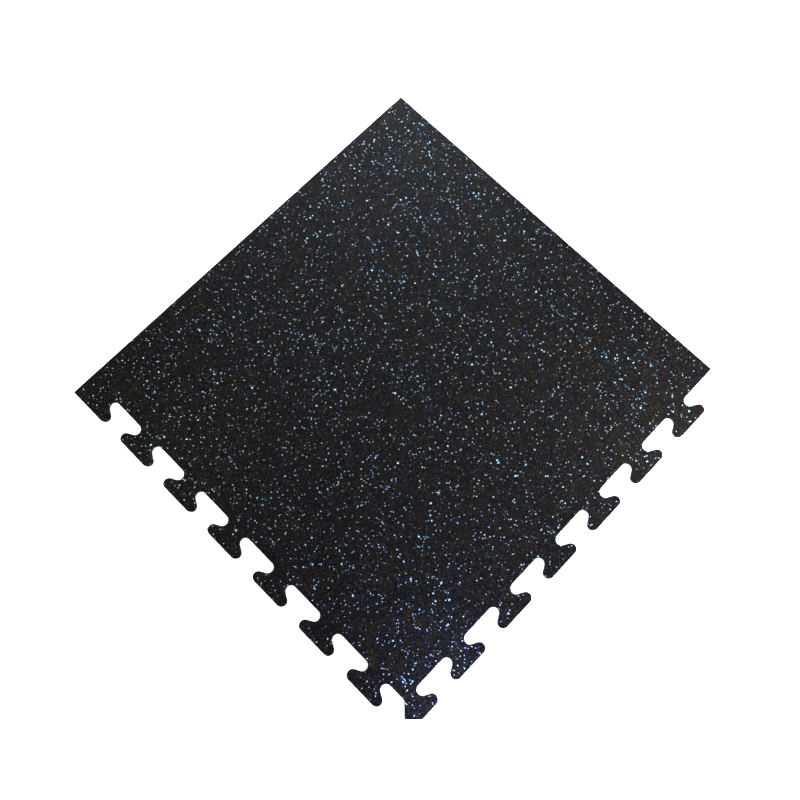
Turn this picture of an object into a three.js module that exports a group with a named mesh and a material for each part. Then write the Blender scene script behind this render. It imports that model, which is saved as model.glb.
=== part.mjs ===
// A rubber gym floor tile for the corner of a floor, in millimetres with +Z up.
// Two of its sides are straight and meet the walls. The other two are cut with dovetail tabs and
// notches that lock into the neighbouring tiles. It is pressed from bonded rubber granules and cut
// through its whole thickness, so it is one piece and one mesh.
//
// The outline is worked out in the corner's frame: its origin is the corner point, where four laid
// tiles meet, and both axes are lines midway between the notches' floors and the tabs' ends. One
// interlocking side runs along +X and starts with a tab. The other runs along +Y and is the same
// line turned by a quarter about the corner point, so it has a notch wherever the first has a tab.
import * as THREE from "three";

// Driving dimensions
const OVERALL_SIZE = 609.6; // from a straight side to the ends of the tabs on the opposite side
const THICKNESS = 6.35;
const INTERLOCK_DEPTH = 30.7; // from a notch's floor to a tab's end
const TAB_PITCH = 83.6; // from one tab's middle to the next one's
const FIRST_TAB = 18.4; // from the corner point to the middle of the first tab
const FLANK_RADIUS = 7.2; // of the round ends of a tab, and of the round corners of a notch
const ARC_STEPS = 6; // half the number of straight segments in each round stretch

// Worked out from them
const halfDepth = INTERLOCK_DEPTH / 2;
const straightSide = OVERALL_SIZE - halfDepth; // from the corner point to a straight side
const halfTab = TAB_PITCH / 4; // at half depth, where tabs and notches are equally wide
const flankRadius = Math.min(FLANK_RADIUS, halfDepth / 2); // two of them stand on one another
const flankCentre = halfDepth - flankRadius; // from the middle line to a round stretch's centre
const firstFlank = FIRST_TAB + halfTab;
const tabCount = 1 + Math.floor((straightSide - firstFlank - flankRadius) / TAB_PITCH);

// The round stretches of a flank are joined by the straight line that touches both.
const touchAngle = Math.PI / 2 - Math.acos(flankRadius / flankCentre);

// From a tab's end up to the notch's floor, on the tab's far flank.
function addFarFlank(side, x) {
  side.absarc(x, -flankCentre, flankRadius, -Math.PI / 2, touchAngle, false);
  side.absarc(x, flankCentre, flankRadius, touchAngle + Math.PI, Math.PI / 2, true);
}

// From the notch's floor down to the next tab's end, on that tab's near flank.
function addNearFlank(side, x) {
  side.absarc(x, flankCentre, flankRadius, Math.PI / 2, -touchAngle, true);
  side.absarc(x, -flankCentre, flankRadius, Math.PI - touchAngle, Math.PI * 1.5, false);
}

// The side along +X, from the corner point to the straight side. The tile's quarter of the little
// square between the four tiles' corners makes the slanted foot that it starts with.
function interlockingSide() {
  const side = new THREE.Path();
  side.moveTo(0, 0);
  side.lineTo(halfDepth, -halfDepth);
  for (let tab = 0; tab < tabCount; tab++) {
    const middle = FIRST_TAB + tab * TAB_PITCH;
    if (tab > 0) addNearFlank(side, middle - halfTab);
    addFarFlank(side, middle + halfTab);
  }
  side.lineTo(straightSide, halfDepth);
  return side.getPoints(ARC_STEPS);
}

function tileOutline() {
  const alongX = interlockingSide();
  const alongY = alongX.map((point) => new THREE.Vector2(-point.y, point.x));
  const wallCorner = new THREE.Vector2(straightSide, straightSide);
  return new THREE.Shape([...alongX, wallCorner, ...alongY.slice(1).reverse()]);
}

const rubber = new THREE.MeshStandardMaterial({
  name: "speckled_rubber",
  color: 0x232226,
  roughness: 0.92,
  metalness: 0,
});

const slab = new THREE.ExtrudeGeometry(tileOutline(), { depth: THICKNESS, bevelEnabled: false });
const tile = new THREE.Mesh(slab, rubber);
tile.name = "rubber_tile";

// The part's own origin is under the middle of the tile, on the floor.
const toMiddle = (straightSide - halfDepth) / 2;
tile.position.set(-toMiddle, -toMiddle, 0);

const part = new THREE.Group();
part.add(tile);

export default part;
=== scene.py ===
"""A speckled rubber gym floor tile, pressed from black rubber granules with a few blue ones among them.

The slab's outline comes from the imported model. Its sides are the open grain that the cut leaves, and its
rims are slightly worn. One solid pattern of granules runs over the top, the rims and the sides, and the
underside repeats the top's.
"""

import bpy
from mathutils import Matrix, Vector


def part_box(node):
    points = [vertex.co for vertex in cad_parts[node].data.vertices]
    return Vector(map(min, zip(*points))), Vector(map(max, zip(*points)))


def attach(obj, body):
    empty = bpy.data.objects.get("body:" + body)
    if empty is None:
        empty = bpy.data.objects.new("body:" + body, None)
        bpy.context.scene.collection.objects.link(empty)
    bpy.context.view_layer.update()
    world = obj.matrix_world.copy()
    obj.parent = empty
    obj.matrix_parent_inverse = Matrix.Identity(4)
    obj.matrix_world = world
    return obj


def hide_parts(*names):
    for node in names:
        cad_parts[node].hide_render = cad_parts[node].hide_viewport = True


bl_info = {
    "name": "Speckled Rubber Tile",
    "version": (1, 0, 0),
    "blender": (4, 5, 0),
    "location": "View3D > Sidebar > Rubber Tile",
    "description": "Makes an interlocking rubber floor tile and the studio that shows it",
    "category": "Add Mesh",
}

from math import ceil, radians

import bmesh
import bpy
from bpy.props import FloatProperty, FloatVectorProperty, IntProperty, PointerProperty
from mathutils import Matrix, Vector, noise

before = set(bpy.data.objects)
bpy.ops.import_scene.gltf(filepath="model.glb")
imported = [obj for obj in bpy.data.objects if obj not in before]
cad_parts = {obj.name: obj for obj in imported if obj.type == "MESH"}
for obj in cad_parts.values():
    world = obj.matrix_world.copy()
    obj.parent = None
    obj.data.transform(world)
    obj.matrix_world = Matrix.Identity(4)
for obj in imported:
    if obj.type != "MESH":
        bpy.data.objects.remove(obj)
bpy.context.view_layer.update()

MM = 0.001
MAP_NAME = "OFBake"  # the name of the slab's UV map
TILE_NODE = "rubber_tile"
tile_low, tile_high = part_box(TILE_NODE)
tile_middle = (tile_low + tile_high) / 2

# The slab's mesh
WELD = 0.01 * MM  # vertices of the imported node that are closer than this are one
SLIVER = 0.02 * MM  # edges of the finished slab that are shorter than this go
GRAIN_REACH = 0.7  # the cut is deepest from this share of a granule's size off its middle
RIM_BAND = 2 * MM  # a rim's chips fade out over this height
RIM_SINK = 0.4  # a rim sinks down or up by this share of how far it sinks inwards
CHIP_START = 0.1  # the noise from which there is a chip
CHIP_RISE = 0.5  # how far above that the chip is deepest

# The granules' edges wander, over this distance and this far
DRIFT_SIZE = 1.1 * MM
FINE_DRIFT = 0.9 * MM
COARSE_DRIFT = 1.8 * MM

# The width of the painted shade in the gaps between granules and of the slopes of their domes, as shares
# of a granule's size
SHADED_GAP_WIDTH = 0.15
SLOPE_WIDTH = 0.22
GAP_PAINTED_SHADE = 0.85  # the share of its colour that a gap loses to painted shade

# The studio's floor, and the heights between which its wall fades into the dim above
FLOOR_REACH = 8
FLOOR_DROP = 0.2 * MM  # how far under the tile the floor lies, so that the two don't flicker
WALL_TOP = 0.22
WALL_FADED = 0.42


def colour(name, description, default):
    return FloatVectorProperty(
        name=name, description=description, default=default, subtype="COLOR", min=0, max=1
    )


def length(name, description, default):
    return FloatProperty(
        name=name, description=description, default=default, unit="LENGTH", precision=5, min=0
    )


def share(name, description, default):
    return FloatProperty(
        name=name, description=description, default=default, subtype="FACTOR", min=0, max=1
    )


def angle(name, description, degrees):
    return FloatProperty(
        name=name, description=description, default=radians(degrees), unit="ROTATION"
    )


def strength(name, description, default, unit="NONE"):
    return FloatProperty(
        name=name, description=description, default=default, unit=unit, min=0
    )


class SlabSettings(bpy.types.PropertyGroup):
    """The cut slab: how finely its sides are divided, and how rough the cut left them."""

    column: length("Column", "Width of the upright columns along the sides", 0.75 * MM)
    rows: IntProperty(name="Rows", description="Rows in the height of a side", default=7, min=2)
    rim: length("Rim", "Radius of the worn rims round both faces", 0.45 * MM)
    border: length("Border", "Width of the flat ring inside each rim", 0.9 * MM)
    panel: length("Panel", "Width of the squares that both faces are divided into", 38 * MM)
    grain: length("Grain", "Size of the granules that stand out of the cut sides", 1.7 * MM)
    grain_depth: length("Grain depth", "Depth of the gaps between those granules", 0.25 * MM)
    chip: length("Chip", "Spacing of the chips along the rims", 4.5 * MM)
    chip_depth: length("Chip depth", "Depth of the deepest chips", 0.35 * MM)
    side_lines: IntProperty(
        name="Side lines", description="Lines in which the side lies on the UV map", default=6, min=1
    )
    side_share: share("Side share", "Share of the UV map's height that those lines take up", 0.082)
    map_margin: share("Map margin", "Gap round the lines and the faces on the UV map", 0.002)


class RubberSettings(bpy.types.PropertyGroup):
    """The rubber: its granules, the coloured flecks among them and the gaps between them."""

    granule: length("Granule", "Size of the fine granules", 1.0 * MM)
    chunk: length("Chunk", "Size of the coarse granules", 1.7 * MM)
    patch: length("Patch", "Size of the patches that are a little warmer or cooler", 14 * MM)
    skin: length("Skin", "Depth to which the underside repeats the top's granules", 0.7 * MM)
    fleck_share: share("Fleck share", "Share of the fine granules that are coloured", 0.0132)
    chunk_share: share("Chunk share", "Share of the coarse granules that are coloured", 0.0022)
    warm_black: colour("Warm black", "Granules of brownish black", (0.0104, 0.0078, 0.0034))
    cool_black: colour("Cool black", "Granules of bluish black", (0.0048, 0.0062, 0.0091))
    dim_fleck: colour("Dim fleck", "Flecks that black crumb half covers", (0.07, 0.09, 0.14))
    mid_fleck: colour("Middle fleck", "Most of the flecks", (0.29, 0.52, 0.90))
    clean_fleck: colour("Clean fleck", "The brightest small flecks", (0.60, 0.87, 1.0))
    blue_chunk: colour("Blue chunk", "The large flecks", (0.34, 0.70, 1.0))


class StudioSettings(bpy.types.PropertyGroup):
    """The studio: the camera, the floor and the lights."""

    lens: FloatProperty(name="Lens", description="Focal length", default=35.74, unit="CAMERA", min=1)
    shift: FloatProperty(name="Shift", description="Sideways shift of the picture", default=-0.0345)
    place: FloatVectorProperty(
        name="Place", description="Where the camera is", default=(-0.1575, -0.1936, 1.0206), unit="LENGTH"
    )
    heading: angle("Heading", "Way that the camera looks, from +Y towards +X", 46.79)
    tilt: angle("Tilt", "How far down the camera looks", 77.10)
    roll: angle("Roll", "Turn about the line of sight", 1.08)
    floor: colour("Floor", "Colour of the floor", (0.86, 0.86, 0.86))
    glow: strength("Glow", "Light that comes up through the floor", 0.80)
    sky: strength("Sky", "Strength of the light from above", 0.35)
    wall: strength("Wall", "Strength of the light from the pale wall all round", 1.0)
    key: strength("Key", "Power of the large light behind the straight sides", 24.0, "POWER")
    side: strength("Side", "Power of the light beside the tabs of the -Y side", 4.1, "POWER")
    fill: strength("Fill", "Power of the bluish light at the corner with the foot", 1.8, "POWER")
    warm: strength("Warm", "Power of the yellowish light at the corner of the -X side", 0.55, "POWER")


class Signal:
    """One output of a shader node. Arithmetic on it adds Math nodes."""

    def __init__(self, shader, socket):
        self.shader = shader
        self.socket = socket

    def math(self, operation, *values):
        return self.shader.add("ShaderNodeMath", {"operation": operation}, dict(enumerate(values)))[0]

    def __add__(self, other):
        return self.math("ADD", self, other)

    def __sub__(self, other):
        return self.math("SUBTRACT", self, other)

    def __rsub__(self, other):
        return self.math("SUBTRACT", other, self)

    def __mul__(self, other):
        return self.math("MULTIPLY", self, other)

    def __pow__(self, other):
        return self.math("POWER", self, other)

    def __lt__(self, other):
        return self.math("LESS_THAN", self, other)

    __radd__ = __add__
    __rmul__ = __mul__


class Shader:
    """The node tree of a new material or world, and the one method that adds nodes to it."""

    def __init__(self, kind, name):
        self.owner = kind.new(name)
        self.owner.use_nodes = True
        self.tree = self.owner.node_tree
        self.tree.nodes.clear()

    def add(self, kind, settings=None, inputs=None):
        """Adds a node. Its settings come first, then its sockets' values or links. Returns its
        outputs that are in use, by number and by name."""
        node = self.tree.nodes.new(kind)
        for key, value in (settings or {}).items():
            if key == "stops":
                set_stops(node.color_ramp.elements, value)
            else:
                setattr(node, key, value)
        inlets = [socket for socket in node.inputs if socket.enabled]
        by_name = {socket.name: socket for socket in reversed(inlets)}
        for key, value in (inputs or {}).items():
            socket = by_name[key] if isinstance(key, str) else inlets[key]
            if isinstance(value, Signal):
                self.tree.links.new(value.socket, socket)
            elif socket.type == "RGBA" and len(value) == 3:
                socket.default_value = (*value, 1)
            else:
                socket.default_value = value
        signals = [Signal(self, socket) for socket in node.outputs if socket.enabled]
        return dict(enumerate(signals)) | {signal.socket.name: signal for signal in signals}

    def mix(self, factor, first, second, blend="MIX"):
        """Mixes two colours."""
        settings = {"data_type": "RGBA", "blend_type": blend}
        return self.add("ShaderNodeMix", settings, {"Factor": factor, "A": first, "B": second})["Result"]

    def grey(self, value):
        """A number as a colour."""
        inputs = {"Red": value, "Green": value, "Blue": value}
        return self.add("ShaderNodeCombineColor", {}, inputs)["Color"]

    def ramp(self, value, *stops):
        return self.add("ShaderNodeValToRGB", {"stops": stops}, {"Fac": value})["Color"]

    def smooth(self, value, low, high):
        """0 below low, 1 above high, and a smooth step between them."""
        settings = {"interpolation_type": "SMOOTHSTEP"}
        inputs = {"Value": value, "From Min": low, "From Max": high}
        return self.add("ShaderNodeMapRange", settings, inputs)["Result"]


def set_stops(elements, stops):
    while len(elements) > 1:
        elements.remove(elements[-1])
    for number, (position, value) in enumerate(stops):
        element = elements[0] if number == 0 else elements.new(position)
        element.position = position
        element.color = (*value, 1)


def speckled_rubber(rubber):
    """Black granules of two sizes with coloured flecks of both, painted shade in the gaps between them and
    low domes.
    """
    shader = Shader(bpy.data.materials, "speckled_rubber")
    add = shader.add
    place = add("ShaderNodeSeparateXYZ", {}, {"Vector": add("ShaderNodeTexCoord")["Object"]})

    # The underside shows the top's granules, so that both can share one part of the UV map.
    underneath = place["Z"] < tile_low.z + rubber.skin
    level = place["Z"] + underneath * (2 * tile_middle.z - 2 * place["Z"])
    place = add("ShaderNodeCombineXYZ", {}, {"X": place["X"], "Y": place["Y"], "Z": level})["Vector"]

    # The granules' edges wander a little, so that none is a plain polygon. Noise lies round a half.
    per_drift = {"Vector": place, "Scale": 1 / DRIFT_SIZE, "Detail": 1.0}
    drift = add("ShaderNodeTexNoise", {}, per_drift)["Color"]
    drift = add("ShaderNodeVectorMath", {"operation": "SUBTRACT"}, {0: drift, 1: (0.5, 0.5, 0.5)})[0]
    settings = {"operation": "MULTIPLY_ADD"}
    fine_place = add("ShaderNodeVectorMath", settings, {0: drift, 1: (FINE_DRIFT,) * 3, 2: place})[0]
    coarse_place = add("ShaderNodeVectorMath", settings, {0: drift, 1: (COARSE_DRIFT,) * 3, 2: place})[0]

    per_granule = {"Vector": fine_place, "Scale": 1 / rubber.granule}
    granules = add("ShaderNodeTexVoronoi", {"feature": "F1"}, per_granule)["Color"]
    from_edge = add("ShaderNodeTexVoronoi", {"feature": "DISTANCE_TO_EDGE"}, per_granule)["Distance"]
    per_chunk = {"Vector": coarse_place, "Scale": 1 / rubber.chunk}
    chunks = add("ShaderNodeTexVoronoi", {"feature": "F1"}, per_chunk)["Color"]
    granule = add("ShaderNodeSeparateColor", {}, {"Color": granules})
    chunk = add("ShaderNodeSeparateColor", {}, {"Color": chunks})

    # Black granules differ in warmth by granule and by patch. They differ in shade too: most are dark,
    # and a few are grey.
    per_patch = {"Vector": place, "Scale": 1 / rubber.patch, "Detail": 1.0}
    patch = add("ShaderNodeTexNoise", {}, per_patch)["Fac"]
    coolness = 0.8 * chunk["Blue"] + 1.7 * patch - 0.75
    black = shader.mix(coolness, rubber.warm_black, rubber.cool_black)
    coarse_shade = 0.5 + 0.4 * chunk["Green"] + 1.0 * chunk["Green"] ** 5
    fine_shade = 0.15 + 4.25 * granule["Green"] ** 4
    black = shader.mix(1.0, black, shader.grey(coarse_shade * fine_shade), "MULTIPLY")

    is_fleck = granule["Red"] < rubber.fleck_share
    fleck = shader.ramp(
        granule["Green"], (0.0, rubber.dim_fleck), (0.3, rubber.mid_fleck), (0.8, rubber.clean_fleck)
    )
    colours = shader.mix(is_fleck, black, fleck)
    is_chunk = chunk["Red"] < rubber.chunk_share
    chunk_shade = 0.6 + 0.4 * granule["Green"]
    blue = shader.mix(1.0, rubber.blue_chunk, shader.grey(chunk_shade), "MULTIPLY")
    colours = shader.mix(is_chunk, colours, blue)

    # The gaps between granules are darkened with painted shade, and a large fleck has none inside it.
    gap = (1 - shader.smooth(from_edge, 0.0, SHADED_GAP_WIDTH)) * (1 - is_chunk)
    colours = shader.mix(1.0, colours, shader.grey(1 - GAP_PAINTED_SHADE * gap), "MULTIPLY")

    # Each granule is a low dome, and they stand at slightly different heights, here in millimetres.
    dome = shader.smooth(from_edge, 0.0, SLOPE_WIDTH)
    height = 0.12 * dome + 0.09 * chunk["Green"] + 0.05 * granule["Green"]
    relief = add("ShaderNodeBump", {}, {"Strength": 1.0, "Distance": MM, "Height": height})["Normal"]
    finish = {
        "Base Color": colours,
        "Roughness": 0.95 - 0.3 * granule["Blue"],
        "Specular IOR Level": 0.064,
        "Normal": relief,
    }
    surface = add("ShaderNodeBsdfPrincipled", {}, finish)["BSDF"]
    add("ShaderNodeOutputMaterial", {}, {"Surface": surface})
    return shader.owner


def studio_floor(studio):
    """A pale floor with hardly any cloud in it. It glows, so it stays white and takes no shadow."""
    shader = Shader(bpy.data.materials, "studio_floor")
    place = shader.add("ShaderNodeTexCoord")["Object"]
    cloud = shader.add("ShaderNodeTexNoise", {}, {"Vector": place, "Scale": 3.0})["Fac"]
    finish = {
        "Base Color": shader.mix(cloud, studio.floor, Vector(studio.floor) * 1.02),
        "Roughness": 0.9,
        "Specular IOR Level": 0.1,
        "Emission Color": (1, 1, 1),
        "Emission Strength": studio.glow,
    }
    surface = shader.add("ShaderNodeBsdfPrincipled", {}, finish)["BSDF"]
    shader.add("ShaderNodeOutputMaterial", {}, {"Surface": surface})
    return shader.owner


def studio_walls(studio):
    """A world that is pale round the horizon, as a studio's walls are, and dim above."""
    shader = Shader(bpy.data.worlds, "studio_walls")
    direction = shader.add("ShaderNodeTexCoord")["Generated"]
    height = shader.add("ShaderNodeSeparateXYZ", {}, {"Vector": direction})["Z"]
    above = shader.smooth(height, WALL_TOP, WALL_FADED)
    light = studio.wall + (studio.sky - studio.wall) * above
    background = shader.add("ShaderNodeBackground", {}, {"Color": (1, 1, 1), "Strength": light})[0]
    shader.add("ShaderNodeOutputWorld", {}, {"Surface": background})
    return shader.owner


def is_level(face):
    return abs(face.normal.z) > 0.5


def lower_outline(node):
    """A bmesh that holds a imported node's outline on the floor, as one loop of edges."""
    bm = bmesh.new()
    bm.from_mesh(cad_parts[node].data)
    bmesh.ops.remove_doubles(bm, verts=bm.verts, dist=WELD)
    floor = tile_low.z + WELD
    rim = set()
    for edge in bm.edges:
        level_faces = sum(is_level(face) for face in edge.link_faces)
        if level_faces == 1 and all(vert.co.z < floor for vert in edge.verts):
            rim.add(edge)
    bmesh.ops.delete(bm, geom=bm.faces[:], context="FACES_ONLY")
    bmesh.ops.delete(bm, geom=[edge for edge in bm.edges if edge not in rim], context="EDGES")
    loose = [vert for vert in bm.verts if not vert.link_edges]
    bmesh.ops.delete(bm, geom=loose, context="VERTS")
    return bm


def raise_slab(bm, height, rows):
    """Draws the outline up in rows, closes both faces and returns the edges of both rims."""
    lower = bm.edges[:]
    drawn = bmesh.ops.spin(
        bm, geom=bm.verts[:] + lower, cent=(0, 0, 0), axis=(0, 0, 1),
        dvec=(0, 0, height / rows), angle=0, steps=rows,
    )
    upper = [item for item in drawn["geom_last"] if isinstance(item, bmesh.types.BMEdge)]
    bmesh.ops.contextual_create(bm, geom=lower)
    bmesh.ops.contextual_create(bm, geom=upper)
    bmesh.ops.recalc_face_normals(bm, faces=bm.faces)
    return lower + upper


def broad_faces(bm):
    """The tile's two faces, which are far larger than any other in the mesh."""
    return sorted(bm.faces, key=lambda face: face.calc_area())[-2:]


def strip_over_side(edge):
    """The level edges of one strip of faces, from an open edge over the side to the other one."""
    strip = [edge]
    loop = edge.link_loops[0].link_loop_next.link_loop_next
    while not loop.edge.is_boundary:
        strip.append(loop.edge)
        loop = loop.link_loop_radial_next.link_loop_next.link_loop_next
    return strip + [loop.edge]


def divide_side(bm, step):
    """Cuts each strip of the side into equal columns of at most one step."""
    groups = {}
    for edge in bm.edges:
        if edge.is_boundary and edge.verts[0].co.z < tile_middle.z:
            strip = strip_over_side(edge)
            widest = max(across.calc_length() for across in strip)
            groups.setdefault(ceil(widest / step) - 1, []).extend(strip)
    for cuts, edges in groups.items():
        if cuts > 0:
            bmesh.ops.subdivide_edges(bm, edges=edges, cuts=cuts)


def side_columns(bm):
    """The side's columns of faces, in order round the tile. Each is a list of the corners from which
    its faces' lower edges start, from the underside up."""
    open_edges = (edge for edge in bm.edges if edge.is_boundary and edge.verts[0].co.z < tile_middle.z)
    corner = first = next(open_edges).link_loops[0]
    columns = []
    while not columns or corner != first:
        column = [corner]
        across = corner.link_loop_next.link_loop_next
        while not across.edge.is_boundary:
            column.append(across.link_loop_radial_next)
            across = column[-1].link_loop_next.link_loop_next
        columns.append(column)
        corner = corner.link_loop_next.link_loop_radial_next.link_loop_next
    return columns


def map_side(bm, slab):
    """Lays the side out on the UV map, in a few lines one above another at the map's top."""
    uv = bm.loops.layers.uv[MAP_NAME]
    columns = side_columns(bm)
    widths = [column[len(column) // 2].edge.calc_length() for column in columns]
    line_length = sum(widths) / slab.side_lines + 2 * max(widths)
    line_height = slab.side_share / slab.side_lines
    across_scale = (1 - 2 * slab.map_margin) / line_length
    up_scale = (line_height - slab.map_margin) / (tile_high.z - tile_low.z)
    line = 0
    along = 0.0
    for column, width in zip(columns, widths):
        if along + width > line_length:
            line += 1
            along = 0.0
        left = slab.map_margin + along * across_scale
        right = left + width * across_scale
        low = 1 - slab.side_share + line * line_height
        for corner in column:
            if is_level(corner.face):
                continue
            high = low + corner.link_loop_next.edge.calc_length() * up_scale
            corner[uv].uv = (left, low)
            corner.link_loop_next[uv].uv = (right, low)
            corner.link_loop_next.link_loop_next[uv].uv = (right, high)
            corner.link_loop_prev[uv].uv = (left, high)
            low = high
        along += width


def map_faces(bm, slab, faces):
    """Lays level faces out on the UV map as seen from above, below the side's lines. The underside
    and the top lie one over the other."""
    uv = bm.loops.layers.uv[MAP_NAME]
    margin = slab.map_margin
    size = tile_high - tile_low
    across_scale = (1 - 2 * margin) / size.x
    up_scale = (1 - slab.side_share - 2 * margin) / size.y
    for face in faces:
        for corner in face.loops:
            offset = corner.vert.co - tile_low
            corner[uv].uv = (margin + offset.x * across_scale, margin + offset.y * up_scale)


def roughen_side(bm, slab):
    """Sinks the gaps between the granules that the cut left open, and chips the rims."""
    bm.normal_update()
    places = {}
    for vert in bm.verts:
        if vert.is_boundary:
            continue
        place = vert.co
        rim_share = 1 - min(place.z - tile_low.z, tile_high.z - place.z) / RIM_BAND
        from_middle = noise.voronoi(place / slab.grain)[0][0]
        gap = min(from_middle / GRAIN_REACH, 1)
        chip = min(max(noise.noise(place / slab.chip) - CHIP_START, 0) / CHIP_RISE, 1)
        depth = slab.grain_depth * gap * gap + slab.chip_depth * chip * max(rim_share, 0)
        inward = Vector((-vert.normal.x, -vert.normal.y, -RIM_SINK * vert.normal.z))
        places[vert] = place + inward * depth
    for vert, place in places.items():
        vert.co = place


def close_faces(bm, width):
    """Closes both faces and divides them into squares, so that they hold no long slivers. Returns
    the squares."""
    for height in (tile_low.z, tile_high.z):
        loop = [edge for edge in bm.edges if edge.is_boundary and abs(edge.verts[0].co.z - height) < MM]
        bmesh.ops.contextual_create(bm, geom=loop)
    bmesh.ops.recalc_face_normals(bm, faces=bm.faces)
    geometry = broad_faces(bm)
    for face in geometry[:]:
        geometry += [*face.edges, *face.verts]
    for axis in (Vector((1, 0, 0)), Vector((0, 1, 0))):
        size = (tile_high - tile_low).dot(axis)
        cuts = round(size / width)
        for cut in range(1, cuts):
            point = tile_low + axis * (size * cut / cuts)
            made = bmesh.ops.bisect_plane(bm, geom=geometry, plane_co=point, plane_no=axis)
            geometry = made["geom"]
    return [item for item in geometry if isinstance(item, bmesh.types.BMFace)]


def slab_mesh(slab):
    """The whole slab as one closed mesh, with its UV map."""
    bm = lower_outline(TILE_NODE)
    rims = raise_slab(bm, tile_high.z - tile_low.z, slab.rows)
    bmesh.ops.bevel(
        bm, geom=rims, offset=slab.rim, offset_type="OFFSET", segments=2, profile=0.5,
        affect="EDGES", material=-1,
    )
    bmesh.ops.inset_region(
        bm, faces=broad_faces(bm), thickness=slab.border, use_even_offset=True, use_boundary=True,
    )
    bmesh.ops.delete(bm, geom=broad_faces(bm), context="FACES_ONLY")
    divide_side(bm, slab.column)
    bm.loops.layers.uv.new(MAP_NAME)
    bm.normal_update()
    map_side(bm, slab)
    map_faces(bm, slab, [face for face in bm.faces if is_level(face)])
    roughen_side(bm, slab)
    map_faces(bm, slab, close_faces(bm, slab.panel))
    bmesh.ops.dissolve_degenerate(bm, edges=bm.edges, dist=SLIVER)
    for face in bm.faces:
        face.smooth = True
    mesh = bpy.data.meshes.new("pressed_slab")
    bm.to_mesh(mesh)
    bm.free()
    return mesh


class OBJECT_OT_rubber_slab(bpy.types.Operator):
    """Make the pressed slab with its cut sides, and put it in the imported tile's place"""

    bl_idname = "object.rubber_slab"
    bl_label = "Rubber slab"

    def execute(self, context):
        mesh = slab_mesh(context.scene.rubber_slab)
        mesh.materials.append(speckled_rubber(context.scene.rubber_look))
        slab = bpy.data.objects.new("pressed_slab", mesh)
        context.scene.collection.objects.link(slab)
        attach(slab, "root")
        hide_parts(TILE_NODE)
        return {"FINISHED"}


def add_camera(scene, studio):
    """Looks down on the tile, with the heading, tilt and roll of the photograph's camera."""
    data = bpy.data.cameras.new("camera")
    data.lens = studio.lens
    data.shift_x = studio.shift
    camera = bpy.data.objects.new("camera", data)
    turn = Matrix.Rotation(-studio.heading, 4, "Z")
    turn @= Matrix.Rotation(radians(90) - studio.tilt, 4, "X")
    turn @= Matrix.Rotation(studio.roll, 4, "Z")
    camera.matrix_world = Matrix.Translation(studio.place) @ turn
    scene.collection.objects.link(camera)
    scene.camera = camera


def add_light(scene, name, power, place, size, tint):
    """A square soft light that faces the middle of the tile, and doesn't show itself."""
    data = bpy.data.lights.new(name, "AREA")
    data.size = size
    data.energy = power
    data.color = tint
    light = bpy.data.objects.new(name, data)
    place = Vector(place)
    light.matrix_world = Matrix.Translation(place) @ place.to_track_quat("Z", "Y").to_matrix().to_4x4()
    light.visible_camera = False
    scene.collection.objects.link(light)


def add_floor(scene, studio):
    bm = bmesh.new()
    bmesh.ops.create_grid(bm, x_segments=1, y_segments=1, size=FLOOR_REACH)
    bmesh.ops.translate(bm, verts=bm.verts, vec=(0, 0, tile_low.z - FLOOR_DROP))
    mesh = bpy.data.meshes.new("studio_floor")
    bm.to_mesh(mesh)
    bm.free()
    mesh.materials.append(studio_floor(studio))
    floor = bpy.data.objects.new("studio_floor", mesh)
    scene.collection.objects.link(floor)


class SCENE_OT_rubber_studio(bpy.types.Operator):
    """Set up the pale floor, the soft lights and the camera"""

    bl_idname = "scene.rubber_studio"
    bl_label = "Studio"

    def execute(self, context):
        scene = context.scene
        studio = scene.rubber_studio
        add_floor(scene, studio)
        add_camera(scene, studio)
        for name, power, place, size, tint in (
            ("key_light", studio.key, (0.60, 0.52, 0.35), 0.6, (0.83, 0.865, 1.0)),
            ("side_light", studio.side, (0.25, -0.45, 0.18), 0.25, (1.0, 0.95, 0.92)),
            ("fill_light", studio.fill, (-0.25, -0.39, 0.12), 0.12, (0.54, 0.56, 1.0)),
            ("warm_light", studio.warm, (-0.40, 0.22, 0.20), 0.15, (1.0, 0.90, 0.45)),
        ):
            add_light(scene, name, power, place, size, tint)
        scene.world = studio_walls(studio)
        scene.view_settings.view_transform = "Standard"
        return {"FINISHED"}


class VIEW3D_PT_rubber_tile(bpy.types.Panel):
    """Lists the pieces and their settings in the sidebar"""

    bl_label = "Rubber Tile"
    bl_space_type = "VIEW_3D"
    bl_region_type = "UI"
    bl_category = "Rubber Tile"

    def draw(self, context):
        for operator, settings in (
            (OBJECT_OT_rubber_slab.bl_idname, ("rubber_slab", "rubber_look")),
            (SCENE_OT_rubber_studio.bl_idname, ("rubber_studio",)),
        ):
            box = self.layout.box()
            box.operator(operator)
            for name in settings:
                group = getattr(context.scene, name)
                for field in group.bl_rna.properties.keys():
                    if field not in ("rna_type", "name"):
                        box.prop(group, field)


CLASSES = (
    SlabSettings,
    RubberSettings,
    StudioSettings,
    OBJECT_OT_rubber_slab,
    SCENE_OT_rubber_studio,
    VIEW3D_PT_rubber_tile,
)


def register():
    for each in CLASSES:
        bpy.utils.register_class(each)
    bpy.types.Scene.rubber_slab = PointerProperty(type=SlabSettings)
    bpy.types.Scene.rubber_look = PointerProperty(type=RubberSettings)
    bpy.types.Scene.rubber_studio = PointerProperty(type=StudioSettings)


def unregister():
    del bpy.types.Scene.rubber_slab
    del bpy.types.Scene.rubber_look
    del bpy.types.Scene.rubber_studio
    for each in reversed(CLASSES):
        bpy.utils.unregister_class(each)


def main():
    register()
    bpy.ops.scene.rubber_studio()
    bpy.ops.object.rubber_slab()


if __name__ == "__main__":
    main()
